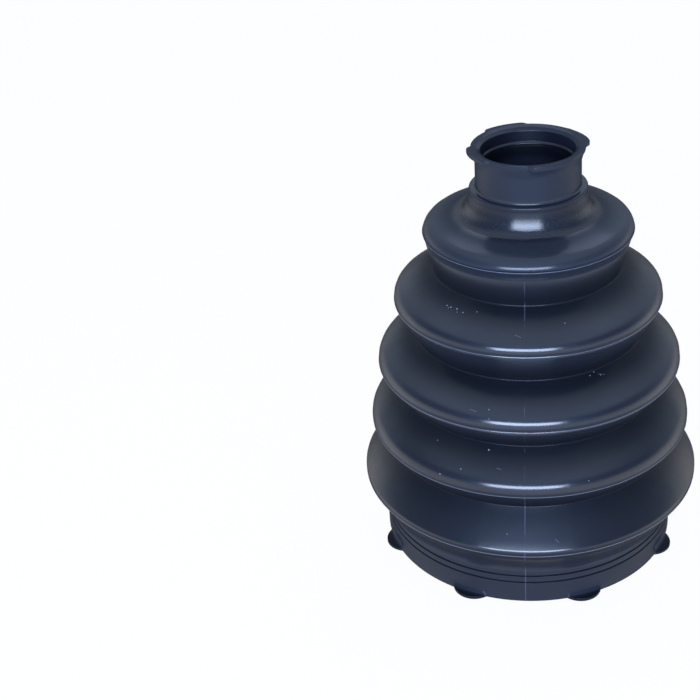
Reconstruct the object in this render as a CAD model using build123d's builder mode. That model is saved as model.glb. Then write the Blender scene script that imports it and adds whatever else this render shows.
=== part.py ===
"""Bellows boot for a drive-shaft joint: one black rubber moulding, open at both ends.

The small end grips the shaft and the big end grips the joint's housing. The origin is the
centre of the big end's lower edge, and +Z runs along the boot's axis towards the small end.
The section is drawn as (radius, height) in the XZ plane and turned about Z. All lengths are in
millimetres and all angles in degrees.
"""

import os
from collections import namedtuple
from math import atan2, cos, radians, sin, tan

from build123d import *

# ---- Big end: a plain cuff that a clamp band squeezes on to the joint's housing ----
cuff_radius = 40.15         # outside
cuff_wall = 2.3
cuff_height = 10.3          # where the lowest fold's underside runs into it
cuff_cove = 2.5             # rounding of that inner corner
cuff_edge_rounding = 0.45   # outer lower edge
cuff_lead = 0.5             # chamfer at the mouth, to start it over the housing
groove_drops = (1.64, 3.74)  # from the cuff's top down to each groove
groove_depth = 0.5
groove_width = 0.6

# ---- Folds ----
fold_wall = 1.4
crest_inner_rounding = 1.2  # inside, under every crest
end_inner_rounding = 2.4    # inside, where the folds run into the cuff and the shoulder
lowest_edge_rise = 9.3      # from the cuff's top to the lowest crest's edge
cuff_step = 5.95            # how far the lowest crest stands out from the cuff
# One value for each fold, from the big end up
crest_roundings = (1.5, 4.2, 4.0, 3.5, 3.2)     # upper side of the crest
crest_lands = (0.73, 0.1, 0.1, 0.1, 0.02)       # upright face between that and the next
edge_roundings = (0.25, 2.3, 2.7, 3.0, 0.25)    # lower edge of the crest
flank_slopes = (52.0, 39.0, 31.0, 29.0, 17.4)   # above the crest, from level
# One value for each fold above the lowest
fold_pitches = (16.5, 17.23, 18.69, 19.27)      # from the edge of the crest below
crest_steps = (2.8, 2.8, 5.2, 8.1)              # how much smaller than the crest below
root_undercuts = (4.5, 6.0, 5.15, 2.7)          # how far the root under the crest lies inside it
root_roundings = (0.3, 0.3, 0.4, 0.5)           # outside, in that root

# ---- Small end: a thin neck with a ledge at its foot and a flanged rim ----
bore_radius = 12.0
neck_wall = 1.47
neck_length = 10.82         # from the ledge to the rim
neck_foot_rounding = 0.4
ledge_width = 1.65          # beyond the neck
ledge_edge_rounding = 0.8
ledge_thickness = 1.29      # upright face at its edge
shoulder_lean = 18.5        # of the wall under the ledge, outwards from upright
shoulder_straight = 1.45    # straight part of that wall
shoulder_cove = 7.0         # rounding from that wall into the top flank
shoulder_wall = 1.9
lip_width = 0.73            # beyond the neck
lip_thickness = 1.3
lip_taper = 2.5             # length over which the neck swells to the lip
lip_taper_rounding = 2.0    # at both ends of that swell
lip_edge_rounding = 0.25
rim_chamfer_width = 0.9     # steep part of the funnel at the mouth
rim_chamfer_depth = 0.68
rim_crown = 0.39            # how much higher the lip's outer edge is than the steep part

# ---- Sealing ribs inside both ends ----
rib_bite = 0.45             # how far a rib stands into its bore
rib_crest = 0.5             # flat top of the rib, along the axis
rib_foot = 1.4              # its whole length along the axis
neck_rib_depth = 4.6        # from the rim to the rib's middle
cuff_rib_drop = 2.7         # from the cuff's top to the rib's middle

# ---- Tabs around both rims, for the clamps to stop against ----
tab_count = 4
tab_start = 26.0            # angle of one tab's middle from +X
tab_reach = 1.3             # beyond the lip
tab_sweep = 40.0            # between the centres of a tab's rounded ends
tab_root = 1.2              # how far it is drawn into the lip
lug_count = 8
lug_start = 22.5
lug_radius = 5.76
lug_reach = 2.31            # beyond the cuff
lug_thickness = 1.0
lug_root = 1.3              # how far it is drawn into the cuff

Corner = namedtuple("Corner", "radius height rounding", defaults=[0.0])


def crossing(leg_a, leg_b):
    """Where two straight legs, run on as far as they need, cross."""
    (start_a, end_a), (start_b, end_b) = leg_a, leg_b
    along_a, along_b = end_a - start_a, end_b - start_b
    reach = (start_b - start_a).cross(along_b).Z / along_a.cross(along_b).Z
    return start_a + along_a * reach


def run_in(rounding, turn):
    """How far a rounding reaches along each leg of a corner that turns by this many radians."""
    return rounding * tan(turn / 2)


def inner_leg(start, end, wall):
    """The inner face of a wall whose outer face runs down the outside from start to end."""
    along = (end - start).normalized()
    inwards = Vector(along.Y, -along.X) * wall
    return start + inwards, end + inwards


def rib(bore, height):
    """Corners of a sealing rib in a bore, from its lower foot to its upper one."""
    return [
        Corner(bore, height - rib_foot / 2),
        Corner(bore - rib_bite, height - rib_crest / 2),
        Corner(bore - rib_bite, height + rib_crest / 2),
        Corner(bore, height + rib_foot / 2),
    ]


# ---- Places that follow from the sizes above ----
neck_radius = bore_radius + neck_wall
ledge_radius = neck_radius + ledge_width
lip_radius = neck_radius + lip_width
cuff_bore = cuff_radius - cuff_wall

# The lower edge of each crest, from the big end up
crest_edges = [Vector(cuff_radius + cuff_step, cuff_height + lowest_edge_rise)]
for step, pitch in zip(crest_steps, fold_pitches):
    crest_edges.append(crest_edges[-1] + Vector(-step, pitch))

# Each flank runs up and in to the root above it, and the top one to the shoulder
flank_ends = [edge.X - cut for edge, cut in zip(crest_edges[1:], root_undercuts)]
cove_run = run_in(shoulder_cove, radians(90 - flank_slopes[-1] - shoulder_lean))
shoulder_length = cove_run + shoulder_straight
flank_ends.append(ledge_radius + shoulder_length * sin(radians(shoulder_lean)))

# From the foot of each fold its underside rises to the edge, the crest stands upright on that
# edge, and the flank starts at the crest's top corner
cuff_top = Vector(cuff_radius, cuff_height)
crest_tops, flank_tops = [], []
for i, edge in enumerate(crest_edges):
    underside = edge - (flank_tops[i - 1] if i > 0 else cuff_top)
    edge_run = run_in(edge_roundings[i], atan2(underside.X, underside.Y))
    crest_run = run_in(crest_roundings[i], radians(90 - flank_slopes[i]))
    top = edge + Vector(0, edge_run + crest_lands[i] + crest_run)
    rise = (top.X - flank_ends[i]) * tan(radians(flank_slopes[i]))
    crest_tops.append(top)
    flank_tops.append(Vector(flank_ends[i], top.Y + rise))

shoulder_foot = flank_tops[-1]
ledge_underside = shoulder_foot.Y + shoulder_length * cos(radians(shoulder_lean))
ledge_height = ledge_underside + ledge_thickness
overall_height = ledge_height + neck_length
lip_underside = overall_height - lip_thickness

# The funnel in the rim, from the bore up to the lip's outer edge
funnel = [
    (bore_radius, overall_height - rim_crown - rim_chamfer_depth),
    (bore_radius + rim_chamfer_width, overall_height - rim_crown),
    (lip_radius, overall_height),
]

# ---- Outer face, from the rim down ----
outer = [
    Corner(lip_radius, overall_height, lip_edge_rounding),
    Corner(lip_radius, lip_underside, lip_taper_rounding),
    Corner(neck_radius, lip_underside - lip_taper, lip_taper_rounding),
    Corner(neck_radius, ledge_height, neck_foot_rounding),
    Corner(ledge_radius, ledge_height, ledge_edge_rounding),
    Corner(ledge_radius, ledge_underside),
    Corner(shoulder_foot.X, shoulder_foot.Y, shoulder_cove),
]
for i in reversed(range(len(crest_edges))):
    outer.append(Corner(crest_tops[i].X, crest_tops[i].Y, crest_roundings[i]))
    outer.append(Corner(crest_edges[i].X, crest_edges[i].Y, edge_roundings[i]))
    if i > 0:
        outer.append(Corner(flank_tops[i - 1].X, flank_tops[i - 1].Y, root_roundings[i - 1]))
outer.append(Corner(cuff_radius, cuff_height, cuff_cove))
for drop in groove_drops:
    height = cuff_height - drop
    outer.append(Corner(cuff_radius, height + groove_width / 2))
    outer.append(Corner(cuff_radius - groove_depth, height))
    outer.append(Corner(cuff_radius, height - groove_width / 2))
outer.append(Corner(cuff_radius, 0, cuff_edge_rounding))

# ---- Inner face, from the mouth of the cuff up: the folds' own legs moved in by the wall ----
cuff_leg = Vector(cuff_bore, 0), Vector(cuff_bore, cuff_height)
shoulder_leg = inner_leg(Vector(ledge_radius, ledge_underside), shoulder_foot, shoulder_wall)
flank_legs, under_legs = [], []
for i, (top, edge, flank_top) in enumerate(zip(crest_tops, crest_edges, flank_tops)):
    foot = flank_tops[i - 1] if i > 0 else cuff_top
    flank_legs.append(inner_leg(flank_top, top, fold_wall))
    under_legs.append(inner_leg(edge, foot, fold_wall))

inner = [Corner(cuff_bore + cuff_lead, 0), Corner(cuff_bore, cuff_lead)]
inner += rib(cuff_bore, cuff_height - cuff_rib_drop)
corner = crossing(cuff_leg, under_legs[0])
inner.append(Corner(corner.X, corner.Y, end_inner_rounding))
for i in range(len(crest_edges)):
    corner = crossing(under_legs[i], flank_legs[i])
    inner.append(Corner(corner.X, corner.Y, crest_inner_rounding))
    if i + 1 < len(crest_edges):
        corner = crossing(flank_legs[i], under_legs[i + 1])
        inner.append(Corner(corner.X, corner.Y, root_roundings[i] + fold_wall))
corner = crossing(flank_legs[-1], shoulder_leg)
inner.append(Corner(corner.X, corner.Y, end_inner_rounding))
shoulder_top = shoulder_leg[0]
inner.append(Corner(shoulder_top.X, shoulder_top.Y))
inner.append(Corner(bore_radius, shoulder_top.Y + shoulder_top.X - bore_radius))
inner += rib(bore_radius, overall_height - neck_rib_depth)
inner += [Corner(radius, height) for radius, height in funnel[:2]]

section = outer + inner

with BuildPart() as bellows_boot:
    # The moulding: its whole section in one turn
    with BuildSketch(Plane.XZ):
        with BuildLine():
            FilletPolyline(
                [(corner.radius, corner.height) for corner in section],
                radius=[corner.rounding for corner in section],
                close=True,
            )
        make_face()
    revolve(axis=Axis.Z)

    # Flange tabs at the small end's rim, as thick as the lip and flush with its outer edge
    tab_width = tab_root + tab_reach
    tab_line = lip_radius + tab_reach - tab_width / 2
    with BuildSketch(Plane.XY.offset(lip_underside)):
        with PolarLocations(0, tab_count, start_angle=tab_start):
            SlotArc(CenterArc((0, 0), tab_line, -tab_sweep / 2, tab_sweep), tab_width)
    extrude(amount=lip_thickness)

    # Their roots stay clear of the funnel
    with BuildSketch(Plane.XZ):
        with BuildLine():
            Polyline(*funnel, (bore_radius, overall_height), close=True)
        make_face()
    revolve(axis=Axis.Z, mode=Mode.SUBTRACT)

    # Half-round lugs at the big end's edge
    with BuildSketch():
        with PolarLocations(cuff_radius + lug_reach - lug_radius, lug_count, lug_start):
            Circle(lug_radius)
        Circle(cuff_radius - lug_root, mode=Mode.SUBTRACT)
    extrude(amount=lug_thickness)

bellows_boot.part.label = "bellows_boot"

os.makedirs("parts", exist_ok=True)
export_step(bellows_boot.part, "parts/bellows_boot.step")

print(f"overall height {overall_height:.2f}, ledge {ledge_height:.2f}")
print("crest edges", [(round(edge.X, 2), round(edge.Y, 2)) for edge in crest_edges])
print("roots", [(round(top.X, 2), round(top.Y, 2)) for top in flank_tops])
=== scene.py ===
# %% [markdown]
# # A rubber bellows boot
# This boot covers the joint of a drive shaft. It is one moulding in black rubber: a narrow neck
# for the shaft, five folds that let the joint bend, and a wide cuff for the joint's housing.
# The lesson turns one drawn section into the whole skin, gives it the look of new rubber, and
# sets it on a white table.

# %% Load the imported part
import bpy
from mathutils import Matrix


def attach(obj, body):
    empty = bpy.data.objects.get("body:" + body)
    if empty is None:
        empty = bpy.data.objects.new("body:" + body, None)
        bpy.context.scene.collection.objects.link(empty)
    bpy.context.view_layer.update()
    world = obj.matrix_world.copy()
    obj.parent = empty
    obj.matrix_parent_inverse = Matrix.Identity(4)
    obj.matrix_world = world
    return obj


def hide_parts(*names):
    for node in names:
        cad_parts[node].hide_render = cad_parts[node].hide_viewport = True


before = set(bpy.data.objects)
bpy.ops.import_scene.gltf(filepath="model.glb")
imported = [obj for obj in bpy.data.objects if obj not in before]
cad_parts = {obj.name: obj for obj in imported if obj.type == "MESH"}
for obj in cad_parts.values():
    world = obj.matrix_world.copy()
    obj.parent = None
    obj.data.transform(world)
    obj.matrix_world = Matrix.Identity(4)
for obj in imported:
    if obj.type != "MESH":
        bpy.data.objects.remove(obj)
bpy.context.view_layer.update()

# %% [markdown]
# ## Sizes
# The skin has to lie exactly on the solid model, so it is drawn from the same sizes. They are
# kept in millimetres, as on a workshop drawing, and turned into metres once, when the mesh is
# made. A list runs from the big end up, and a slope or a sweep is in degrees.

# %% Tools
from collections import namedtuple
from math import acos, atan2, ceil, cos, degrees, hypot, pi, radians, sin, sqrt, tan

import bmesh
import bpy
from mathutils import Matrix, Vector, noise

MM = 0.001
print("tools of Blender", bpy.app.version_string)

# %% Sizes of the cuff and the folds
cuff_radius, cuff_wall, cuff_height, cuff_cove = 40.15, 2.3, 10.3, 2.5
cuff_edge_rounding, cuff_lead = 0.45, 0.5
groove_drops, groove_depth, groove_width = (1.64, 3.74), 0.5, 0.6

fold_wall, crest_inner_rounding, end_inner_rounding = 1.4, 1.2, 2.4
lowest_edge_rise, cuff_step = 9.3, 5.95
crest_roundings = (1.5, 4.2, 4.0, 3.5, 3.2)
crest_lands = (0.73, 0.1, 0.1, 0.1, 0.02)
edge_roundings = (0.25, 2.3, 2.7, 3.0, 0.25)
flank_slopes = (52.0, 39.0, 31.0, 29.0, 17.4)
fold_pitches = (16.5, 17.23, 18.69, 19.27)
crest_steps = (2.8, 2.8, 5.2, 8.1)
root_undercuts = (4.5, 6.0, 5.15, 2.7)
root_roundings = (0.3, 0.3, 0.4, 0.5)
print(len(flank_slopes), "folds on a cuff", 2 * cuff_radius, "mm across")

# %% Sizes of the neck, the ribs, the tabs and the lugs
bore_radius, neck_wall, neck_length, neck_foot_rounding = 12.0, 1.47, 10.82, 0.4
ledge_width, ledge_thickness = 1.65, 1.29
shoulder_lean, shoulder_straight, shoulder_cove, shoulder_wall = 18.5, 1.45, 7.0, 1.9
lip_width, lip_thickness, lip_taper, lip_taper_rounding = 0.73, 1.3, 2.5, 2.0
lip_edge_rounding = 0.25
rim_chamfer_width, rim_chamfer_depth, rim_crown = 0.9, 0.68, 0.39

rib_bite, rib_crest, rib_foot, neck_rib_depth, cuff_rib_drop = 0.45, 0.5, 1.4, 4.6, 2.7

tab_count, tab_start, tab_reach, tab_sweep = 4, 26.0, 1.3, 40.0
lug_count, lug_start, lug_radius, lug_reach, lug_thickness = 8, 22.5, 5.76, 2.31, 1.0
print(tab_count, "tabs round a bore", 2 * bore_radius, "mm across, and", lug_count, "lugs")

# %% [markdown]
# ## The section
# A moulder would cut this boot's mould on a lathe, from one section. The section here is a loop
# of corners, each with its own rounding, that runs down the outside and back up the inside.
# A corner may also know where its points go on a full tab or lug: the ring that it makes is
# then pushed outwards wherever one stands, so that they grow out of the rim in one skin, with
# no seam.

# %% Corners and legs
Corner = namedtuple(
    "Corner", "radius height rounding part bead pushed", defaults=[0.1, "outside", None, ()]
)


def crossing(leg_a, leg_b):
    """Where two straight legs, run on as far as they need, cross."""
    (start_a, end_a), (start_b, end_b) = leg_a, leg_b
    along_a, along_b = end_a - start_a, end_b - start_b
    return start_a + along_a * ((start_b - start_a).cross(along_b) / along_a.cross(along_b))


def run_in(rounding, turn):
    """How far a rounding reaches along each leg of a corner that turns by this many radians."""
    return rounding * tan(turn / 2)


def inner_leg(start, end, wall):
    """The inner face of a wall whose outer face runs down the outside from start to end."""
    along = (end - start).normalized()
    inwards = Vector((along.y, -along.x)) * wall
    return start + inwards, end + inwards


print("a 2 mm rounding of a square corner reaches", round(run_in(2, pi / 2), 2), "mm each way")

# %% Round edges and sealing ribs
RIB_FOOT_ROUNDING, RIB_CREST_ROUNDING = 0.1, 0.2        # mm


def quarter_round(tip, height, rounding, count, first, last):
    """Points round an edge whose outermost radius is tip, between two angles in degrees."""
    turns = [radians(first + (last - first) * k / (count - 1)) for k in range(count)]
    return [
        (tip - rounding + rounding * cos(turn), height + rounding * sin(turn)) for turn in turns
    ]


def rib(bore, height):
    """Corners of a sealing rib in a bore, from its lower foot to its upper one."""
    return [
        Corner(bore, height - rib_foot / 2, RIB_FOOT_ROUNDING, "inside"),
        Corner(bore - rib_bite, height - rib_crest / 2, RIB_CREST_ROUNDING, "inside"),
        Corner(bore - rib_bite, height + rib_crest / 2, RIB_CREST_ROUNDING, "inside"),
        Corner(bore, height + rib_foot / 2, RIB_FOOT_ROUNDING, "inside"),
    ]


print("a rib narrows the neck's bore to", round(2 * (bore_radius - rib_bite), 2), "mm")

# %% [markdown]
# ## Crests and roots
# A fold could be drawn point by point. Here it is given by the lower edge of its crest, the
# slope of the flank above that crest and the depth of the root, and the rest is worked out, so
# that one size can change and the folds still meet.

# %% Edges of the crests
neck_radius = bore_radius + neck_wall
ledge_radius = neck_radius + ledge_width
lip_radius = neck_radius + lip_width
cuff_bore = cuff_radius - cuff_wall

crest_edges = [Vector((cuff_radius + cuff_step, cuff_height + lowest_edge_rise))]
for step, pitch in zip(crest_steps, fold_pitches):
    crest_edges.append(crest_edges[-1] + Vector((-step, pitch)))
widest = crest_edges[0].x
print("widest fold", round(2 * widest, 2), "mm across")

# %% Tops of the crests and of the flanks
flank_ends = [edge.x - cut for edge, cut in zip(crest_edges[1:], root_undercuts)]
cove_run = run_in(shoulder_cove, radians(90 - flank_slopes[-1] - shoulder_lean))
shoulder_length = cove_run + shoulder_straight
flank_ends.append(ledge_radius + shoulder_length * sin(radians(shoulder_lean)))

cuff_top = Vector((cuff_radius, cuff_height))
crest_tops, flank_tops = [], []
for i, edge in enumerate(crest_edges):
    underside = edge - (flank_tops[i - 1] if i > 0 else cuff_top)
    edge_run = run_in(edge_roundings[i], atan2(underside.x, underside.y))
    crest_run = run_in(crest_roundings[i], radians(90 - flank_slopes[i]))
    top = edge + Vector((0, edge_run + crest_lands[i] + crest_run))
    rise = (top.x - flank_ends[i]) * tan(radians(flank_slopes[i]))
    crest_tops.append(top)
    flank_tops.append(Vector((flank_ends[i], top.y + rise)))

shoulder_foot = flank_tops[-1]
ledge_underside = shoulder_foot.y + shoulder_length * cos(radians(shoulder_lean))
ledge_height = ledge_underside + ledge_thickness
overall_height = ledge_height + neck_length
lip_underside = overall_height - lip_thickness
print("overall height", round(overall_height, 2), "mm")

# %% [markdown]
# ## Down the outside
# The lower edge of each crest carries a fine bead, where the rings of the mould met and let a
# little rubber out. It is about a tenth of a millimetre high, and still shows: its underside
# leans so far that it mirrors the white table. The shoulder between the ledge and the top fold
# is thick and soft, and sags a little, so two corners more than in the solid draw it.

# %% Rim, neck, ledge and shoulder
TAB_EDGE = 0.15             # rounding of a tab's lower edge, mm
TAB_FACE = 0.05             # from the lip out to the inner end of a tab's flat underside, mm
LEDGE_EDGE, LEDGE_UNDERSIDE = 0.5, 0.3  # roundings, mm; the first is sharper than the solid's
# Each corner of the sag: out from and up from the ledge's lower edge, and its rounding, mm.
shoulder_sag = ((0.65, -2.9, 11.5), (2.08, -5.6, 3.1))

tab_tip = lip_radius + tab_reach
tab_top = [(lip_radius, overall_height)]
tab_top += quarter_round(
    tab_tip, overall_height - lip_edge_rounding, lip_edge_rounding, 7, 90, 0
)
tab_under = quarter_round(tab_tip, lip_underside + TAB_EDGE, TAB_EDGE, 4, 0, -90)
tab_under += [(lip_radius + TAB_FACE, lip_underside), None]     # the last ring isn't pushed
outside = [
    Corner(lip_radius, overall_height, lip_edge_rounding, "tabs", None, tab_top),
    Corner(lip_radius, lip_underside, lip_taper_rounding, "tabs", None, tab_under),
    Corner(neck_radius, lip_underside - lip_taper, lip_taper_rounding),
    Corner(neck_radius, ledge_height, neck_foot_rounding),
    Corner(ledge_radius, ledge_height, LEDGE_EDGE),
    Corner(ledge_radius, ledge_underside, LEDGE_UNDERSIDE),
]
for out, up, rounding in shoulder_sag:
    outside.append(Corner(ledge_radius + out, ledge_underside + up, rounding))
print(len(outside), "corners from the rim to the shoulder")

# %% Folds
bead_places = (0.5, 0.5, 0.25, 0.3, 0.5)    # share of the way round each crest's lower edge
for i in reversed(range(len(crest_edges))):
    top, edge = crest_tops[i], crest_edges[i]
    outside.append(Corner(top.x, top.y, crest_roundings[i]))
    outside.append(Corner(edge.x, edge.y, edge_roundings[i], "outside", bead_places[i]))
    if i > 0:
        outside.append(Corner(flank_tops[i - 1].x, flank_tops[i - 1].y, root_roundings[i - 1]))
print(len(outside), "corners down to the lowest crest")

# %% Cuff, grooves and lugs
LUG_EDGE = 0.2                              # rounding of a lug's outer edges, mm
LUG_CLEAR = 0.03                            # from a lug's top up to the last plain ring, mm
LUG_FIRST, LUG_STEP = 0.04, 0.06            # from its top down to its first ring, and between
GROOVE_EDGE, GROOVE_ROOT = 0.08, 0.12       # roundings, mm

outside.append(Corner(cuff_radius, cuff_height, cuff_cove))
for drop in groove_drops:
    height = cuff_height - drop
    outside.append(Corner(cuff_radius, height + groove_width / 2, GROOVE_EDGE))
    outside.append(Corner(cuff_radius - groove_depth, height, GROOVE_ROOT))
    outside.append(Corner(cuff_radius, height - groove_width / 2, GROOVE_EDGE))
lug_tip = cuff_radius + lug_reach
lug_top = quarter_round(lug_tip, lug_thickness - LUG_EDGE, LUG_EDGE, 4, 90, 0)
lug_under = quarter_round(lug_tip, LUG_EDGE, LUG_EDGE, 6, 0, -90)
outside.append(Corner(cuff_radius, lug_thickness + LUG_CLEAR, 0.0))
for k, place in enumerate(lug_top):
    height = lug_thickness - LUG_FIRST - LUG_STEP * k
    outside.append(Corner(cuff_radius, height, 0.0, "lugs", None, [place]))
outside.append(Corner(cuff_radius, 0, cuff_edge_rounding, "lugs", None, lug_under))
print(len(outside), "corners down the outside")

# %% [markdown]
# ## Up the inside
# The inside isn't the outside made smaller. Each leg of the outside is moved in by the wall,
# and the moved legs are crossed again, so that the rubber stays as thick round a crest as it
# is on a flank. A sealing rib stands in the bore of each end.

# %% Inner legs
cuff_leg = Vector((cuff_bore, 0)), Vector((cuff_bore, cuff_height))
shoulder_leg = inner_leg(Vector((ledge_radius, ledge_underside)), shoulder_foot, shoulder_wall)
flank_legs, under_legs = [], []
for i, (top, edge, flank_top) in enumerate(zip(crest_tops, crest_edges, flank_tops)):
    foot = flank_tops[i - 1] if i > 0 else cuff_top
    flank_legs.append(inner_leg(flank_top, top, fold_wall))
    under_legs.append(inner_leg(edge, foot, fold_wall))
print(len(flank_legs) + len(under_legs), "legs inside the folds")

# %% Inner corners
LEAD_ROUNDING, SHOULDER_ROUNDING, MOUTH_ROUNDING = 0.1, 0.3, 0.15       # mm


def inner_corner(leg_a, leg_b, rounding):
    """The corner where two inner legs cross."""
    return Corner(*crossing(leg_a, leg_b), rounding, "inside")


inside = [
    Corner(cuff_bore + cuff_lead, 0, LEAD_ROUNDING, "inside"),
    Corner(cuff_bore, cuff_lead, LEAD_ROUNDING, "inside"),
]
inside += rib(cuff_bore, cuff_height - cuff_rib_drop)
inside.append(inner_corner(cuff_leg, under_legs[0], end_inner_rounding))
for i in range(len(crest_edges)):
    inside.append(inner_corner(under_legs[i], flank_legs[i], crest_inner_rounding))
    if i + 1 < len(crest_edges):
        rounding = root_roundings[i] + fold_wall
        inside.append(inner_corner(flank_legs[i], under_legs[i + 1], rounding))
inside.append(inner_corner(flank_legs[-1], shoulder_leg, end_inner_rounding))
top = shoulder_leg[0]
bore_foot = top.y + top.x - bore_radius         # a slope of 45 degrees leads into the bore
inside.append(Corner(top.x, top.y, SHOULDER_ROUNDING, "inside"))
inside.append(Corner(bore_radius, bore_foot, SHOULDER_ROUNDING, "inside"))
inside += rib(bore_radius, overall_height - neck_rib_depth)
mouth = overall_height - rim_crown
inside.append(Corner(bore_radius, mouth - rim_chamfer_depth, MOUTH_ROUNDING, "inside"))
inside.append(Corner(bore_radius + rim_chamfer_width, mouth, MOUTH_ROUNDING, "inside"))
section = outside + inside
print(len(section), "corners in the section")

# %% [markdown]
# ## From corners to rings
# Every corner becomes an arc, and every long leg gets a few points between its ends, so that
# the skin can carry the slight unevenness of a real moulding. Each point of the section will be
# one ring of the skin.

# %% Points of an arc
Ring = namedtuple("Ring", "radius height part lift pushed", defaults=["outside", 0.0, None])
ARC_STEP = 18.0             # degrees of turn between points on an arc
STRAIGHT = radians(1)       # a corner that turns by less stays one point


def arc_points(before, corner, after, shares=None):
    """Points of the arc that rounds one corner, at the given shares of the way, and its length."""
    here = Vector((corner.radius, corner.height))
    to_before = (Vector((before.radius, before.height)) - here).normalized()
    to_after = (Vector((after.radius, after.height)) - here).normalized()
    turn = pi - acos(max(-1.0, min(1.0, to_before.dot(to_after))))
    if corner.rounding == 0 or turn < STRAIGHT:
        return [here], 0.0
    start = here + to_before * run_in(corner.rounding, turn)
    centre = here + (to_before + to_after).normalized() * corner.rounding / cos(turn / 2)
    sign = 1 if to_before.cross(to_after) < 0 else -1
    if shares is None:
        steps = max(2, ceil(degrees(turn) / ARC_STEP))
        shares = [k / steps for k in range(steps + 1)]
    spoke = start - centre
    points = [centre + Matrix.Rotation(sign * turn * share, 2) @ spoke for share in shares]
    return points, turn * corner.rounding


foot = arc_points(outside[2], outside[3], outside[4])
print("the neck's foot:", len(foot[0]), "points on an arc", round(foot[1], 2), "mm long")

# %% Rings of a corner
BEAD_HEIGHT, BEAD_HALF = 0.12, 0.16         # mm
BEAD_LIFTS = (0.0, 0.75, 1.0, 0.75, 0.0)    # across the bead, as shares of its height
BEAD_CLEAR = 1.3            # half beads to each side without any other ring
EDGE_STEPS = 5              # rings round an edge that carries a bead


def corner_rings(before, corner, after):
    """The rings of one corner, with its bead, or pushed on to its tabs or lugs."""
    if corner.pushed:
        last = max(1, len(corner.pushed) - 1)
        shares = [k / last for k in range(len(corner.pushed))]
        points, _ = arc_points(before, corner, after, shares)
        return [
            Ring(point.x, point.y, corner.part, 0.0, place)
            for point, place in zip(points, corner.pushed)
        ]
    points, length = arc_points(before, corner, after)
    if corner.bead is None:
        return [Ring(point.x, point.y, corner.part) for point in points]
    half = BEAD_HALF / length
    bead = [corner.bead + half * k / 2 for k in (-2, -1, 0, 1, 2)]
    lifts = dict(zip(bead, BEAD_LIFTS))
    plain = [k / EDGE_STEPS for k in range(EDGE_STEPS + 1)]
    shares = [share for share in plain if abs(share - corner.bead) > BEAD_CLEAR * half]
    shares = sorted(shares + bead)
    points, _ = arc_points(before, corner, after, shares)
    return [
        Ring(point.x, point.y, corner.part, BEAD_HEIGHT * lifts.get(share, 0.0))
        for point, share in zip(points, shares)
    ]


print("a bead is", 2 * BEAD_HALF, "mm wide and", BEAD_HEIGHT, "mm high")

# %% All the rings
OUTER_LEG, INNER_LEG = 2.8, 6.5     # longest leg between points, outside and inside, mm

arcs = [
    corner_rings(section[i - 1], corner, section[(i + 1) % len(section)])
    for i, corner in enumerate(section)
]
loop = []
for i, arc in enumerate(arcs):
    loop += arc
    start, end = arc[-1], arcs[(i + 1) % len(arcs)][0]
    part = "inside" if "inside" in (start.part, end.part) else "outside"
    longest = INNER_LEG if part == "inside" else OUTER_LEG
    length = hypot(end.radius - start.radius, end.height - start.height)
    cuts = 0 if "lugs" in (start.part, end.part) or start.pushed else ceil(length / longest) - 1
    for k in range(1, cuts + 1):
        share = k / (cuts + 1)
        radius = start.radius + (end.radius - start.radius) * share
        height = start.height + (end.height - start.height) * share
        loop.append(Ring(radius, height, part))
print(len(loop), "rings in the skin")

# %% [markdown]
# ## Tabs and lugs
# Four flat tabs stand out from the small rim, and eight round lugs from the foot of the cuff.
# They could be meshes of their own, but one moulding shows no joint there, so each is a push
# on the rings that it grows from. A tab fades in and out softly at its ends, and a lug is the
# part of a disc that reaches past the cuff.

# %% Outline of the tabs and lugs
TAB_TAPER = (1.5, 5.5)      # degrees inside and outside the tab's end over which it fades
tab_full = radians(tab_sweep / 2 - TAB_TAPER[0])        # half of where a tab stands full
tab_last = radians(tab_sweep / 2 + TAB_TAPER[1])        # and half of all that it takes up
tab_reaches = ((1.0, 0.95), (1.0, 0.45), (1.0, 1.0), (1.0, 0.7))    # at each one's two ends
BACK_LIP = 0.35         # how far the lip itself reaches at the back, as a share of a tab
lug_line = lug_tip - lug_radius


def circle_end(line, round_radius, wall):
    """Angle at a disc's own centre where its edge meets the wall that it stands on."""
    return acos((wall ** 2 - line ** 2 - round_radius ** 2) / (2 * line * round_radius))


def bulge(offset, line, round_radius, wall):
    """Radius of a disc's edge, offset radians round from its centre, or else of the wall."""
    inner = round_radius ** 2 - (line * sin(offset)) ** 2
    if inner <= 0 or abs(offset) > pi / 2:
        return wall
    return max(wall, line * cos(offset) + sqrt(inner))


lug_last = circle_end(lug_line, lug_radius, cuff_radius)
print("a tab takes up", round(2 * degrees(tab_last), 1), "degrees of the rim")

# %% How far a ring is pushed


def nearest(angle, start, count):
    """How far an angle is from the nearest of count evenly spaced places, in radians."""
    pitch = 2 * pi / count
    return (angle - radians(start) + pitch / 2) % pitch - pitch / 2


def eased(share):
    """The share, held between 0 and 1, with a soft start and end."""
    share = max(0.0, min(1.0, share))
    return share * share * (3 - 2 * share)


def push(angle, part):
    """How much of a full tab or lug stands at an angle, from 0 to 1."""
    if part == "lugs":
        offset = nearest(angle, lug_start, lug_count)
        return (bulge(offset, lug_line, lug_radius, cuff_radius) - cuff_radius) / lug_reach
    offset = nearest(angle, tab_start, tab_count)
    tab = round((angle - offset - radians(tab_start)) / (2 * pi / tab_count)) % tab_count
    first, last = tab_reaches[tab]
    reach = first + (last - first) * eased((offset + tab_full) / (2 * tab_full))
    full = eased((tab_last - abs(offset)) / (tab_last - tab_full))
    lip = BACK_LIP * (1 - cos(angle)) / 2
    return lip + (reach - lip) * full


print("share of a tab at its middle:", round(push(radians(tab_start), "tabs"), 3))
print("share of a lug at its middle:", round(push(radians(lug_start), "lugs"), 3))

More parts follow.
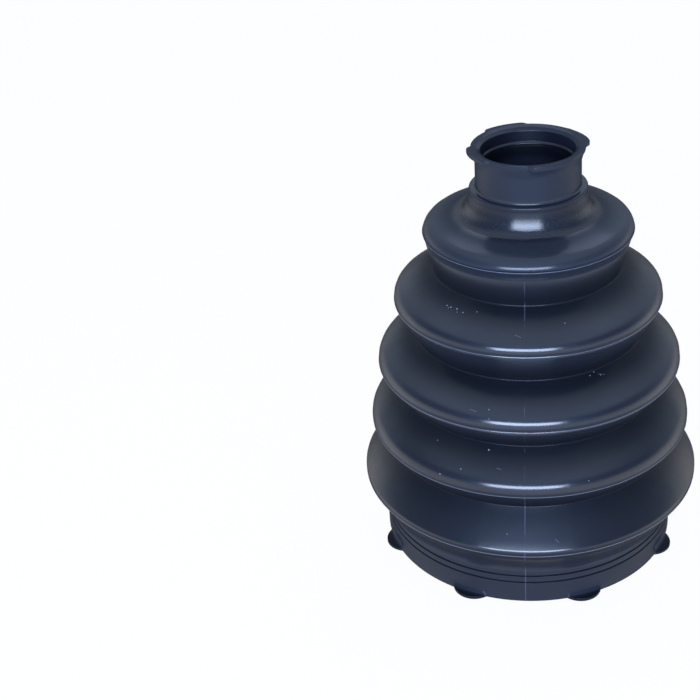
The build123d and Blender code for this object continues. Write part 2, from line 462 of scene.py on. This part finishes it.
# %% [markdown]
# ## Spokes
# The other direction of the skin is a set of angles around the axis. They could be even, but
# would then have to be fine everywhere. So they are packed close where a lug or the end of a
# tab curves quickly, and around the two parting lines, where the halves of the mould met and
# left a fine raised seam, and plain ones fill the gaps.

# %% Spokes of the tabs and lugs
LUG_SPOKES, TAB_SPOKES = 7, 7       # to each side of a lug's middle, and at each end of a tab
CORNER_GAP = 0.12                   # degrees from a lug's end to the first plain spoke

angles = []
for lug in range(lug_count):
    middle = radians(lug_start) + 2 * pi * lug / lug_count
    for k in range(-LUG_SPOKES, LUG_SPOKES + 1):
        turn = lug_last * k / LUG_SPOKES
        offset = atan2(lug_radius * sin(turn), lug_line + lug_radius * cos(turn))
        angles.append(middle + offset)
    for side in (-1, 1):
        angles.append(middle + side * (abs(offset) + radians(CORNER_GAP)))
for tab in range(tab_count):
    middle = radians(tab_start) + 2 * pi * tab / tab_count
    for side in (-1, 1):
        for k in range(TAB_SPOKES + 1):
            offset = tab_full + (tab_last - tab_full) * k / TAB_SPOKES
            angles.append(middle + side * offset)
print(len(angles), "spokes for the tabs and lugs")

# %% Plain spokes and those of the seams
PLAIN_STEP = 3.0        # degrees between spokes where nothing else is needed
SEAM_CLEAR = 4.0        # degrees each side of a parting line without plain spokes
SEAM_OWN = 0.8          # and without any but the seam's own
seam_spokes = (-0.12, -0.05, 0.0, 0.05, 0.12)   # mm from the middle of the seam
seam_sides = (0.9, 1.8, 2.9)                    # degrees from it, so that it shades no wider

angles = [angle for angle in angles if abs(nearest(angle, 0, 2)) > radians(SEAM_OWN)]
for seam in (0, pi):
    angles += [seam + side * radians(offset) for offset in seam_sides for side in (-1, 1)]
angles = [angle % (2 * pi) for angle in angles]
drawn = list(angles)
for i in range(round(360 / PLAIN_STEP)):
    angle = radians(i * PLAIN_STEP)
    clear = min(abs(nearest(angle - other, 0, 1)) for other in drawn)
    if clear > radians(PLAIN_STEP / 3) and abs(nearest(angle, 0, 2)) > radians(SEAM_CLEAR):
        angles.append(angle)
angles.sort()
spokes = [(0.0, offset) for offset in seam_spokes]
spokes += [(angle, None) for angle in angles if angle < pi]
spokes += [(pi, offset) for offset in seam_spokes]
spokes += [(angle, None) for angle in angles if angle >= pi]
print(len(spokes), "spokes,", 2 * len(spokes) * len(loop), "triangles")

# %% [markdown]
# ## The skin
# Rings and spokes cross in a grid, which closes on itself both ways. Each outside point is
# then moved a few hundredths of a millimetre along its own normal by smooth noise: a rubber
# wall never comes out quite true, and that is what breaks up the long highlights. The boot is
# also a little out of true as a whole: its neck leans half a millimetre to one side, and its
# cuff stands a little off the axis and is turned by one degree.

# %% How soft rubber settles
WAVES = ((0.035, 14.0), (0.018, 5.0))       # height and size of each wave, mm
NECK_LEAN = 0.5                             # mm, to the right, growing between two heights
LEAN_FROM, LEAN_TO = 75.0, 105.0
CUFF_SHIFT = Vector((-0.4, -0.4))           # mm, whole below the first of two heights
CUFF_TWIST = radians(1.0)
CUFF_BELOW, FOLDS_ABOVE = cuff_height - 1.5, cuff_height + 3.0


def lean_at(height):
    """How far the neck has leant at a height, in mm."""
    return NECK_LEAN * eased((height - LEAN_FROM) / (LEAN_TO - LEAN_FROM))


def cuff_share(height):
    """How much of the cuff's shift and twist there is at a height, from 0 to 1."""
    return eased((FOLDS_ABOVE - height) / (FOLDS_ABOVE - CUFF_BELOW))


for level in (0.0, overall_height):
    print("at", round(level, 1), "mm: leans", lean_at(level), "mm, cuff's share", cuff_share(level))

# %% One point of the skin
SEAM_HEIGHT = 0.012         # mm
SEAM_TOP = 92.0             # height where the seam dies out on the top fold, mm
SEAM_LIMIT = radians(0.6)   # a seam's spokes never part further, however narrow the ring
SEAM_FULLNESS = 0.7         # below 1, the seam is rounder than a ridge with straight sides


def normal_of(index):
    """The section's outward normal at a ring, as (radial, upward)."""
    before, after = loop[index - 1], loop[(index + 1) % len(loop)]
    along = Vector((after.radius - before.radius, after.height - before.height))
    return Vector((-along.y, along.x)).normalized()


def skin_point(ring, normal, angle, seam_offset):
    """Where one spoke meets one ring, in millimetres."""
    lift = ring.lift
    if seam_offset is not None:
        angle += max(-SEAM_LIMIT, min(SEAM_LIMIT, seam_offset / ring.radius))
        if ring.part != "inside" and ring.height < SEAM_TOP:
            lift += SEAM_HEIGHT * (1 - abs(seam_offset) / seam_spokes[-1]) ** SEAM_FULLNESS
    radius, height = ring.radius, ring.height
    if ring.pushed:
        share = push(angle, ring.part)
        radius += (ring.pushed[0] - radius) * share
        height += (ring.pushed[1] - height) * share
    place = Vector((radius * sin(angle), -radius * cos(angle), height))
    if ring.part == "outside":
        lift += sum(tall * noise.noise(place / size) for tall, size in WAVES)
    radius = min(radius + normal.x * lift, widest)
    height = min(max(height + normal.y * lift, 0.0), overall_height)
    cuff = cuff_share(height)
    angle += CUFF_TWIST * cuff
    place = Vector((radius * sin(angle) + lean_at(height), -radius * cos(angle), height))
    return place + Vector((CUFF_SHIFT.x, CUFF_SHIFT.y, 0)) * cuff


first = skin_point(loop[0], normal_of(0), *spokes[0])
print("first point of the skin:", [round(part, 2) for part in first], "mm")

# %% Build the boot
boot_mesh = bpy.data.meshes.new("boot_skin")
bm = bmesh.new()
grid = []
for index, ring in enumerate(loop):
    normal = normal_of(index)
    grid.append([bm.verts.new(skin_point(ring, normal, *spoke) * MM) for spoke in spokes])
for row, next_row in zip(grid, grid[1:] + grid[:1]):
    for k in range(len(row)):
        m = (k + 1) % len(row)
        bm.faces.new((row[k], next_row[k], next_row[m], row[m])).smooth = True
bmesh.ops.recalc_face_normals(bm, faces=bm.faces)
bm.to_mesh(boot_mesh)
bm.free()

boot = bpy.data.objects.new("boot_skin", boot_mesh)
bpy.context.collection.objects.link(boot)
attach(boot, "root")
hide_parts("bellows_boot")
print("skin:", len(boot_mesh.polygons), "faces")

# %% [markdown]
# ## Writing a material as sums
# Node trees are easier to read as formulas. The class below wraps one output of a node; plus,
# minus and times add the matching Math node, and every other node is made by one method. Most
# masks are soft steps, which go from 0 to 1 as a measure goes from one value to another.

# %% A small language for nodes


class Wire:
    """One output of a node, which takes part in sums."""

    def __init__(self, tree, socket):
        self.tree, self.socket = tree, socket

    def node(self, kind, settings=None, out=0, **inputs):
        """A new node: its settings first, then its sockets, as values or other wires."""
        made = self.tree.nodes.new(kind)
        for name, value in (settings or {}).items():
            setattr(made, name, value)
        for name, value in inputs.items():
            key = int(name[1:]) if name[1:].isdigit() else name.replace("_", " ")
            if isinstance(value, Wire):
                self.tree.links.new(value.socket, made.inputs[key])
            else:
                made.inputs[key].default_value = value
        return Wire(self.tree, made.outputs[out])

    def maths(self, operation, *values):
        """A Math node on values and wires."""
        inputs = {f"_{index}": value for index, value in enumerate(values)}
        return self.node("ShaderNodeMath", {"operation": operation}, **inputs)

    def __add__(self, other):
        return self.maths("ADD", self, other)

    def __sub__(self, other):
        return self.maths("SUBTRACT", self, other)

    def __rsub__(self, other):
        return self.maths("SUBTRACT", other, self)

    def __mul__(self, other):
        return self.maths("MULTIPLY", self, other)

    __radd__, __rmul__ = __add__, __mul__

    def root(self):
        return self.maths("SQRT", self)

    def above(self, low, high):
        """From 0 at low to 1 at high, eased at both ends; either may be the larger."""
        return self.node(
            "ShaderNodeMapRange", {"interpolation_type": "SMOOTHSTEP"},
            Value=self, From_Min=low, From_Max=high,
        )

    def band(self, low, full_from, full_to, high):
        """1 between the two middle values, fading to 0 at the outer ones."""
        return self.above(low, full_from) * self.above(high, full_to)


# %% Mixing, joining and starting
def blend(wire, colour_a, colour_b, share):
    """A colour that goes from one to the other as share goes from 0 to 1."""
    inputs = {"_0": share, "_6": colour_a, "_7": colour_b}      # the colours' own sockets
    return wire.node("ShaderNodeMix", {"data_type": "RGBA"}, out=2, **inputs)


def joined(operation, wires):
    """One wire made of many, two by two, by one Math operation."""
    whole, *others = wires
    for wire in others:
        whole = whole.maths(operation, whole, wire)
    return whole


def start_tree(owner, output_kind, coordinate):
    """The output of a material or a world emptied of all else, and a wire to write on."""
    owner.use_nodes = True
    tree = owner.node_tree
    tree.nodes.clear()
    output = tree.nodes.new(output_kind)
    place = tree.nodes.new("ShaderNodeTexCoord")
    return output, Wire(tree, place.outputs[coordinate])


# %% [markdown]
# ## New rubber
# Moulded rubber is nearly black, with a cold blue cast. It shines in two layers: a thin bloom
# of wax on top is quite glossy, and the rubber under it is dull. On the crests the bloom is
# rubbed to a shine. Down between the folds it stays thin and matt, and there the colour is also
# painted darker, as painted shade. A painted mask could say where, but would have to be painted
# again after each change of shape, so the material measures where it is: how high, and how far
# from the axis.

# %% Measures on the surface
rubber = bpy.data.materials.new("black_rubber")
output, place = start_tree(rubber, "ShaderNodeOutputMaterial", "Object")
spot = place.node("ShaderNodeVectorMath", {"operation": "SCALE"}, Vector=place, Scale=1 / MM)
across = spot.node("ShaderNodeSeparateXYZ", out="X", Vector=spot)
along = spot.node("ShaderNodeSeparateXYZ", out="Y", Vector=spot)
height = spot.node("ShaderNodeSeparateXYZ", out="Z", Vector=spot)
from_axis = (across * across + along * along).root()
cuff_across, cuff_along = across - CUFF_SHIFT.x, along - CUFF_SHIFT.y
from_cuff_axis = (cuff_across * cuff_across + cuff_along * cuff_along).root()


def cloud(size, detail=2.0):
    """Smooth noise, from 0 to 1, with lumps of this size in millimetres."""
    return spot.node("ShaderNodeTexNoise", Vector=spot, Scale=1 / size, Detail=detail)


print("rubber is measured in millimetres, by", len(spot.tree.nodes), "nodes so far")

# %% [markdown]
# ### Where the rubber is dull
# The depth below the crests comes from one curve that touches all five of them. The dullness
# follows it, and so does the painted shade that darkens the colour between the folds. The neck
# and the cuff have no folds, so they are even. The bore, and the corner where the neck stands on
# its ledge, keep their gloss and lose that painted shade.

# %% Depth below the crests
CREST_SLOPE, CREST_BEND = 0.09, 0.0024      # of the curve that touches the crests, in mm
SUNK = (0.3, 6.5)           # mm below it where dullness and painted shade begin, and are whole
FLANK_RADIUS, SHOULDER_RADIUS = 20.5, 18.0  # mm: the flank is outside one, the shoulder within
SHOULDER_HEIGHT, FLANK_HEIGHT = (90, 92), (86, 91)      # where each starts and is whole, mm
SHOULDER_LIFT = 0.7                         # share of dullness and painted shade the shoulder loses

climb = height - crest_edges[0].y
crest_curve = widest - climb * CREST_SLOPE - climb * climb * CREST_BEND
on_shoulder = height.above(*SHOULDER_HEIGHT) * from_axis.above(FLANK_RADIUS, SHOULDER_RADIUS)
# The top flank is painted lighter with its own colour: painted light on the top flank.
top_flank = height.above(*FLANK_HEIGHT) * from_axis.above(SHOULDER_RADIUS, FLANK_RADIUS)
sunk = (crest_curve - from_axis).above(*SUNK) * (1 - SHOULDER_LIFT * on_shoulder)
print("the rubber is fully dull", SUNK[1], "mm below the crests")

# %% Ends, bore and ledge
CUFF_HEIGHTS = (17, 10)                     # where the cuff starts and is whole, mm
NECK_UNDER, NECK_OVER = 3, 1                # mm: it starts under the ledge, is whole over it
FOOT_LINE = (-0.1, 0.0, 0.5, 1.0)           # over the ledge's top, mm
UNDER_LEDGE, BY_LEDGE = (-0.5, 0.0, 0.4, 0.8), (-3.2, -1.8)     # over its underside, mm
BORE_EDGE = (0.6, 0.2)                      # out from the bore, mm
END_DULLNESS, LEDGE_DULLNESS = 0.88, 0.8    # of the neck and the cuff, and round the ledge
BORE_GLOSS, FOOT_GLOSS = 0.8, 0.9           # shares of their dullness that these two lose

neck = height.above(ledge_underside - NECK_UNDER, ledge_height + NECK_OVER)
ends = neck + height.above(*CUFF_HEIGHTS)
bore = from_axis.above(*(bore_radius + out for out in BORE_EDGE))
foot_line = height.band(*(ledge_height + up for up in FOOT_LINE))
# A thin band along the ledge's underside is painted dark: painted shade under the ledge.
painted_shade_under_ledge = height.band(*(ledge_underside + up for up in UNDER_LEDGE))
by_ledge = height.above(*(ledge_underside + up for up in BY_LEDGE)) * (1 - foot_line)
# Dullness also darkens the colour: it is the mask of the painted shade between the folds.
dull_and_painted_shade = sunk * (1 - ends) + ends * END_DULLNESS
dull_and_painted_shade = dull_and_painted_shade + (LEDGE_DULLNESS - dull_and_painted_shade) * by_ledge * (1 - ends)
dull_and_painted_shade = dull_and_painted_shade * (1 - bore * BORE_GLOSS) * (1 - FOOT_GLOSS * foot_line)
print("ledge between", round(ledge_underside, 2), "and", round(ledge_height, 2), "mm")

# %% Lugs and grooves
# The lugs and the grooves get painted shade: their masks darken the colour, and also thin the
# bloom.
LUG_MASK_OUT, LUG_MASK_DOWN = (0.1, 0.6), (1.5, 1.05)   # mm out from the cuff, and heights
GROOVE_HALVES = (0.3, 0.6)      # of a groove's width from its middle: still full, and ended

lugs = from_cuff_axis.above(*(cuff_radius + out for out in LUG_MASK_OUT)) \
    * height.above(*LUG_MASK_DOWN)
groove_masks = []
for drop in groove_drops:
    middle = cuff_height - drop
    full, end = (share * groove_width for share in GROOVE_HALVES)
    groove_masks.append(height.band(middle - end, middle - full, middle + full, middle + end))
grooves = joined("ADD", groove_masks)
print(len(groove_masks), "grooves shaded")

# %% [markdown]
# ### Specks and scuffs
# Every boot picks up a few pale specks of dust and some short scuffs in its box. Each is placed
# by its angle round the boot and its height, so that it lies on the skin whatever its shape.

# %% Places on the skin
def on_skin(turn, level):
    """The point of the outside at this angle in degrees and this height in millimetres."""
    for ring, below in zip(loop, loop[1:]):
        if ring.part != "inside" and below.height <= level <= ring.height:
            share = (level - below.height) / max(ring.height - below.height, 1e-6)
            radius = below.radius + (ring.radius - below.radius) * share
            return Vector((radius * sin(radians(turn)), -radius * cos(radians(turn)), level))
    raise ValueError(f"nothing stands at {level} mm")


# Each speck: angle, height and radius.
specks = (
    (-44.0, 78.9, 0.22), (-42.2, 78.7, 0.16), (-41.1, 78.9, 0.24), (-37.2, 79.0, 0.26),
    (-36.0, 78.6, 0.15), (-32.8, 78.8, 0.2), (-25.6, 79.4, 0.16), (19.3, 78.1, 0.18),
    (31.2, 62.3, 0.16), (34.0, 62.6, 0.18), (36.2, 61.9, 0.16), (-13.4, 58.3, 0.18),
    (-12.7, 56.8, 0.15), (-14.7, 44.9, 0.26), (-37.6, 44.0, 0.16), (-30.4, 38.7, 0.22),
    (-23.3, 40.8, 0.18), (22.0, 39.2, 0.14), (-6.0, 24.5, 0.14), (28.0, 97.0, 0.14),
)
# Each scuff: angle and height of its two ends.
scuffs = (
    ((-4.4, 76.9), (-1.2, 76.5)), ((-20.9, 57.9), (-17.6, 57.7)), ((-10.4, 42.1), (-8.4, 41.9)),
    ((9.9, 23.6), (11.3, 22.7)), ((35.0, 62.2), (38.6, 61.7)), ((-31.0, 39.6), (-30.0, 37.9)),
)
print(len(specks), "specks and", len(scuffs), "scuffs")

# %% Specks
SPECK_CORE = 0.4            # share of a speck's radius that is fully pale


def vector_maths(operation, wire_a, vector_b=(0, 0, 0)):
    """A number out of two vectors."""
    return spot.node(
        "ShaderNodeVectorMath", {"operation": operation}, out="Value", _0=wire_a, _1=vector_b
    )


marks = []
for turn, level, size in specks:
    gap = vector_maths("DISTANCE", spot, on_skin(turn, level))
    marks.append(gap.above(size, size * SPECK_CORE))
print(len(marks), "specks drawn")

# %% Scuffs
SCUFF_WIDTH = 0.13          # mm, to each side
SCUFF_PALENESS = 0.3        # next to a speck
SCUFF_FADE = 0.15           # share of its length over which each end fades

for (turn_a, level_a), (turn_b, level_b) in scuffs:
    end_a, end_b = on_skin(turn_a, level_a), on_skin(turn_b, level_b)
    length = (end_b - end_a).length
    offset = spot.node("ShaderNodeVectorMath", {"operation": "SUBTRACT"}, _0=spot, _1=end_a)
    run = vector_maths("DOT_PRODUCT", offset, (end_b - end_a) / length)
    gap = vector_maths("LENGTH", offset)
    apart = gap * gap - run * run
    side = apart.maths("MAXIMUM", apart, 0.0).root()
    within = run.band(0.0, SCUFF_FADE * length, (1 - SCUFF_FADE) * length, length)
    marks.append(side.above(SCUFF_WIDTH, 0.0) * within * SCUFF_PALENESS)
print(len(marks), "marks with the scuffs")
marks = joined("MAXIMUM", marks)

# %% [markdown]
# ### Bead and parting line
# The bead on each crest, and the parting line down the folds here and there, are painted
# paler: a painted highlight, for the light that their edges catch. Just above the bead the
# mould's rings met, and a narrow band stayed dull.

# %% Bead, the band above it, and the parting line
NEAR_EDGE = 5.0             # mm, within which a bead belongs to a crest's edge
BEAD_LINE = (-0.2, 0.0, 0.1, 0.25)          # heights over the bead, mm
DULL_BAND = (0.15, 0.35, 0.7, 1.3)
SEAM_SQUARES = (0.026, 0.002)               # squares of the seam's half widths, mm2
SEAM_PATCH, SEAM_PATCHES = 6.0, (0.45, 0.65)    # size of its patches in mm, and where they show

lines, strips = [], []
for edge in crest_edges:
    level = max(
        ring.height for ring in loop if ring.lift and abs(ring.height - edge.y) < NEAR_EDGE
    )
    over_bead = height - (level - BEAD_HALF)
    lines.append(over_bead.band(*BEAD_LINE))
    strips.append(over_bead.band(*DULL_BAND))
bead_painted_highlight, dull_band = joined("ADD", lines), joined("ADD", strips)
seam_line = (across * across).above(*SEAM_SQUARES) * height.above(SEAM_TOP, SEAM_TOP - 1)
seam_painted_highlight = seam_line * cloud(SEAM_PATCH).above(*SEAM_PATCHES)
print(len(lines), "beads marked")

# %% [markdown]
# ### Colour
# All the colours are so dark that a small step between them shows clearly. They are laid over
# one another like washes of paint, each with its own mask: first the open rubber, then painted
# shade between the folds, on the lower folds, the cuff, the lugs, the grooves and under the
# ledge, the neck and cuff's own tone, painted light on the top flank and in the bore, painted
# highlights on the beads and the parting line, and the specks and scuffs on top.

# %% Colours of the rubber
# The open rubber, the ends and the dust are real colours; the others are painted shade, painted
# light and painted highlights.
OPEN, PAINTED_SHADE = (0.009, 0.0120, 0.021, 1), (0.0035, 0.0045, 0.008, 1)
ENDS, PAINTED_LIGHT_ON_TOP_FLANK = (0.011, 0.0150, 0.027, 1), (0.017, 0.0215, 0.033, 1)
PAINTED_SHADE_AT_MOUTH, PAINTED_LIGHT_IN_BORE = (0.005, 0.006, 0.012, 1), (0.045, 0.055, 0.11, 1)
PAINTED_HIGHLIGHT, DUST = (0.11, 0.13, 0.19, 1), (0.26, 0.30, 0.38, 1)
LOWER_SHADE, CUFF_SHADE = 0.45, 0.3         # painted shade on the lower folds and the cuff
BEAD_SHARE, SEAM_SHARE = 0.7, 0.4
LOWER_FOLDS, CUFF_FACE, INTO_BORE = (60, 22), (12, 9), (107, 102)       # heights in mm

lower_folds = height.above(*LOWER_FOLDS) * (1 - ends)
cuff_face = height.above(*CUFF_FACE)
# Inside the bore the wall is painted dark near the mouth, as painted shade, and paler further down,
# as painted light.
painted_light_in_bore = blend(spot, PAINTED_SHADE_AT_MOUTH, PAINTED_LIGHT_IN_BORE, height.above(*INTO_BORE))
washes = (
    (PAINTED_SHADE, dull_and_painted_shade), (PAINTED_SHADE, lower_folds * LOWER_SHADE), (ENDS, ends), (PAINTED_SHADE, cuff_face * CUFF_SHADE),
    (PAINTED_LIGHT_ON_TOP_FLANK, top_flank), (PAINTED_SHADE, lugs + grooves), (PAINTED_SHADE, painted_shade_under_ledge), (painted_light_in_bore, bore),
    (PAINTED_HIGHLIGHT, bead_painted_highlight * BEAD_SHARE), (PAINTED_HIGHLIGHT, seam_painted_highlight * SEAM_SHARE), (DUST, marks),
)
colour = OPEN
for wash, mask in washes:
    colour = blend(spot, colour, wash, mask)
print(len(washes), "washes over the open rubber")

# %% [markdown]
# ### Grain
# A mould is never polished all over. Fine grain comes in patches, an orange peel lies over
# everything and is stronger at the ends, and the shoulder has coarse grains that catch the
# light. They are too fine for the mesh, so a bump carries them.

# %% Grain of the surface
GRAIN_LEAST, GRAIN_MORE, GRAINY = 0.4, 1.6, (0.45, 0.7)     # its height, and where it grows
PEEL, SPARKLE = 1.5, 17.0                   # height of each, next to the fine grain
PEEL_MIDDLE, PEEL_ENDS = 0.5, 1.5           # share of the peel on the folds, and more at the ends
COARSE_HEIGHT, COARSE_RADIUS = (93, 97), 18.5           # mm

grain, peel, sparkle = cloud(0.28), cloud(1.6), cloud(0.55, 1.0)
grain = grain * (cloud(4.0).above(*GRAINY) * GRAIN_MORE + GRAIN_LEAST)
peel = peel * (PEEL_MIDDLE + PEEL_ENDS * ends)
coarse = height.above(*COARSE_HEIGHT) * from_axis.above(FLANK_RADIUS, COARSE_RADIUS) * (1 - ends)
texture = grain + peel * PEEL + sparkle * coarse * SPARKLE
print("with the grain the rubber has", len(spot.tree.nodes), "nodes")

# %% [markdown]
# ### The two layers
# One shader carries both: its base is the dull rubber and its coat is the bloom. Seen at a
# glancing angle bloom scatters light instead of mirroring it, so the coat fades out there and
# the base grows rougher. A list says what else thins the bloom, and by how much.

# %% Roughness and bloom
GLANCING = (0.4, 0.85)      # 0 faces the eye, 1 is seen edge on
ROUGHNESS = 0.40            # of open rubber
BLOOM, BLOOM_LOST = 0.95, 0.75              # on open rubber, and how much less where it is dull
PATCH_LEAST, PATCH_MORE = 0.75, 0.5         # bloom comes in patches

patches, mottle = cloud(16.0), cloud(2.4, 3.0)
glancing = spot.node("ShaderNodeLayerWeight", out="Facing", Blend=0.5).above(*GLANCING)
roughness = ROUGHNESS
for mask, share in ((dull_and_painted_shade, 0.15), (mottle, 0.10), (glancing, 0.3)):
    roughness = roughness + share * mask
thinned = (
    (dull_band, 0.75), (glancing, 0.93), (lugs, 0.8), (top_flank, 0.45), (grooves, 1.0),
)
bloom = (BLOOM - BLOOM_LOST * dull_and_painted_shade) * (PATCH_LEAST + PATCH_MORE * patches)
for mask, share in thinned:
    bloom = bloom * (1 - share * mask)
print("bloom thinned in", len(thinned), "more places")

# %% The shader
surface = spot.node(
    "ShaderNodeBsdfPrincipled",
    Base_Color=colour,
    Roughness=roughness,
    Specular_IOR_Level=0.2,
    Specular_Tint=(0.5, 0.68, 1.0, 1),
    Coat_Weight=bloom,
    Coat_Roughness=0.17,
    Coat_IOR=1.55,
    Normal=spot.node("ShaderNodeBump", Height=texture, Strength=0.5, Distance=0.03 * MM),
)
spot.tree.links.new(surface.socket, output.inputs["Surface"])
boot_mesh.materials.append(rubber)
print("black rubber:", len(spot.tree.nodes), "nodes")

# %% [markdown]
# ## The table
# A white sheet. What looks at it straight or in a reflection sees it almost as plain white,
# with the boot's shadow left in it faintly.

# %% Sheet
FLOOR_SIZE = 4.0            # metres
floor_mesh = bpy.data.meshes.new("white_table")
bm = bmesh.new()
bmesh.ops.create_grid(bm, x_segments=1, y_segments=1, size=FLOOR_SIZE / 2)
bm.to_mesh(floor_mesh)
bm.free()
floor = bpy.data.objects.new("white_table", floor_mesh)
bpy.context.collection.objects.link(floor)
print("table", FLOOR_SIZE, "m wide")

# %% White of the sheet
WHITE = (1, 1, 1, 1)
PAPER = (0.95, 0.95, 0.95, 1)
PLAIN_SHARE = 0.95          # how much of the sheet is plain white to the eye

paper = bpy.data.materials.new("white_paper")
output, place = start_tree(paper, "ShaderNodeOutputMaterial", "Object")
looks = ("Is Camera Ray", "Is Glossy Ray", "Is Transmission Ray")
seen = joined("ADD", [place.node("ShaderNodeLightPath", out=look) for look in looks])
sheet = place.node("ShaderNodeBsdfDiffuse", Color=PAPER)
white = place.node("ShaderNodeEmission", Color=WHITE, Strength=1.0)
plain = seen.above(0.0, 1.0) * PLAIN_SHARE
mixed = place.node("ShaderNodeMixShader", _0=plain, _1=sheet, _2=white)
place.tree.links.new(mixed.socket, output.inputs["Surface"])
floor_mesh.materials.append(paper)
print("paper:", len(place.tree.nodes), "nodes")

# %% [markdown]
# ## The room
# Black rubber shows little but what it mirrors, so the room matters as much as the lamps. It
# is pale: bright near the table, brighter behind than in front, and brightest overhead. Where
# the camera looks straight at it, it is plain white.

# %% Room
SKY = (0.70, 0.83, 1.0, 1)
FRONT_WALL, BACK_WALL, CEILING = 0.2, 0.55, 0.95    # brightness, where 1 is white
BACK_EXTRA, TABLE_SHARE = 0.3, 0.7      # more in the middle of the back; white near the table
BACK_FROM, MIDDLE_FROM = (-0.1, 0.6), (0.7, 0.95)       # backwards, where 1 is straight back
TABLE_RISE, CEILING_RISE = (14, 3), (30, 58)            # degrees over the horizon

scene = bpy.context.scene
scene.view_settings.view_transform = "Standard"
world = bpy.data.worlds.new("pale_room")
scene.world = world
output, way = start_tree(world, "ShaderNodeOutputWorld", "Generated")
backwards = way.node("ShaderNodeSeparateXYZ", out="Y", Vector=way)
upwards = way.node("ShaderNodeSeparateXYZ", out="Z", Vector=way)


def over_horizon(low, high):
    """A soft step between two heights over the horizon, in degrees."""
    return upwards.above(sin(radians(low)), sin(radians(high)))


near_table = over_horizon(*TABLE_RISE) * TABLE_SHARE
wall = FRONT_WALL + (BACK_WALL - FRONT_WALL) * backwards.above(*BACK_FROM)
wall = wall + backwards.above(*MIDDLE_FROM) * BACK_EXTRA
wall = wall + (1 - wall) * near_table
strength = wall + (CEILING - wall) * over_horizon(*CEILING_RISE)
tint = blend(way, SKY, WHITE, near_table)
looked_at = way.node("ShaderNodeLightPath", out="Is Camera Ray")
tint = blend(way, tint, WHITE, looked_at)
strength = strength + (1 - strength) * looked_at
room = way.node("ShaderNodeBackground", Color=tint, Strength=strength)
way.tree.links.new(room.socket, output.inputs["Surface"])
print("room:", len(way.tree.nodes), "nodes")

# %% [markdown]
# ## The lamps
# A long, low soft box in front, a little above the table, draws the bright line along every
# fold. A fainter one behind, higher up, lights the far side.

# %% Lamps
COOL = (0.62, 0.74, 1.0)


def soft_box(name, azimuth, elevation, distance, width, height, radiance):
    """A lamp that faces the boot, placed by degrees round it (0 is the front) and up."""
    data = bpy.data.lights.new(name, "AREA")
    data.shape, data.size, data.size_y = "RECTANGLE", width, height
    data.energy, data.color = radiance * pi * width * height, COOL
    box = bpy.data.objects.new(name, data)
    bpy.context.collection.objects.link(box)
    turn, up = radians(azimuth), radians(elevation)
    away = Vector((sin(turn) * cos(up), -cos(turn) * cos(up), sin(up)))
    box.location = Vector((0, 0, overall_height / 2 * MM)) + away * distance
    box.rotation_euler = away.to_track_quat("Z", "Y").to_euler()
    print(name, "gives", round(data.energy, 2), "W")


soft_box("front_box", azimuth=-1, elevation=18, distance=1.2, width=1.05, height=0.36,
         radiance=20.0)
soft_box("back_box", azimuth=180, elevation=48, distance=1.3, width=0.9, height=0.4,
         radiance=1.6)

# %% [markdown]
# ## Camera
# The camera looks down on the boot at 30 degrees from quite near, so the neck is seen from
# less above than the cuff, and it is turned to the left, which sets the boot on the right.

# %% Camera
FRAME = 700                 # pixels, width and height
FOCAL = 1342.85             # focal length in the same pixels
SENSOR = 36.0               # mm
SIGHT_HEIGHT, SIGHT_DISTANCE = 54.52, 369.22    # mm: point aimed at, and how far away it is
PITCH, AZIMUTH = radians(30.124), radians(1.2)
YAW, ROLL = radians(7.516), radians(-0.388)

camera_data = bpy.data.cameras.new("camera")
camera_data.sensor_width = SENSOR
camera_data.lens = SENSOR * FOCAL / FRAME
camera = bpy.data.objects.new("camera", camera_data)
bpy.context.collection.objects.link(camera)
scene.camera = camera
out = Vector((sin(AZIMUTH), -cos(AZIMUTH), 0))
sight = Vector((0, 0, SIGHT_HEIGHT * MM))
camera.location = sight + (out * cos(PITCH) + Vector((0, 0, sin(PITCH)))) * SIGHT_DISTANCE * MM
aim = Matrix.Rotation(AZIMUTH, 4, "Z") @ Matrix.Rotation(pi / 2 - PITCH, 4, "X")
aim = aim @ Matrix.Rotation(YAW, 4, "Y") @ Matrix.Rotation(ROLL, 4, "Z")
camera.rotation_euler = aim.to_euler()
print("lens of", round(camera_data.lens, 2), "mm at", [round(part, 4) for part in camera.location])
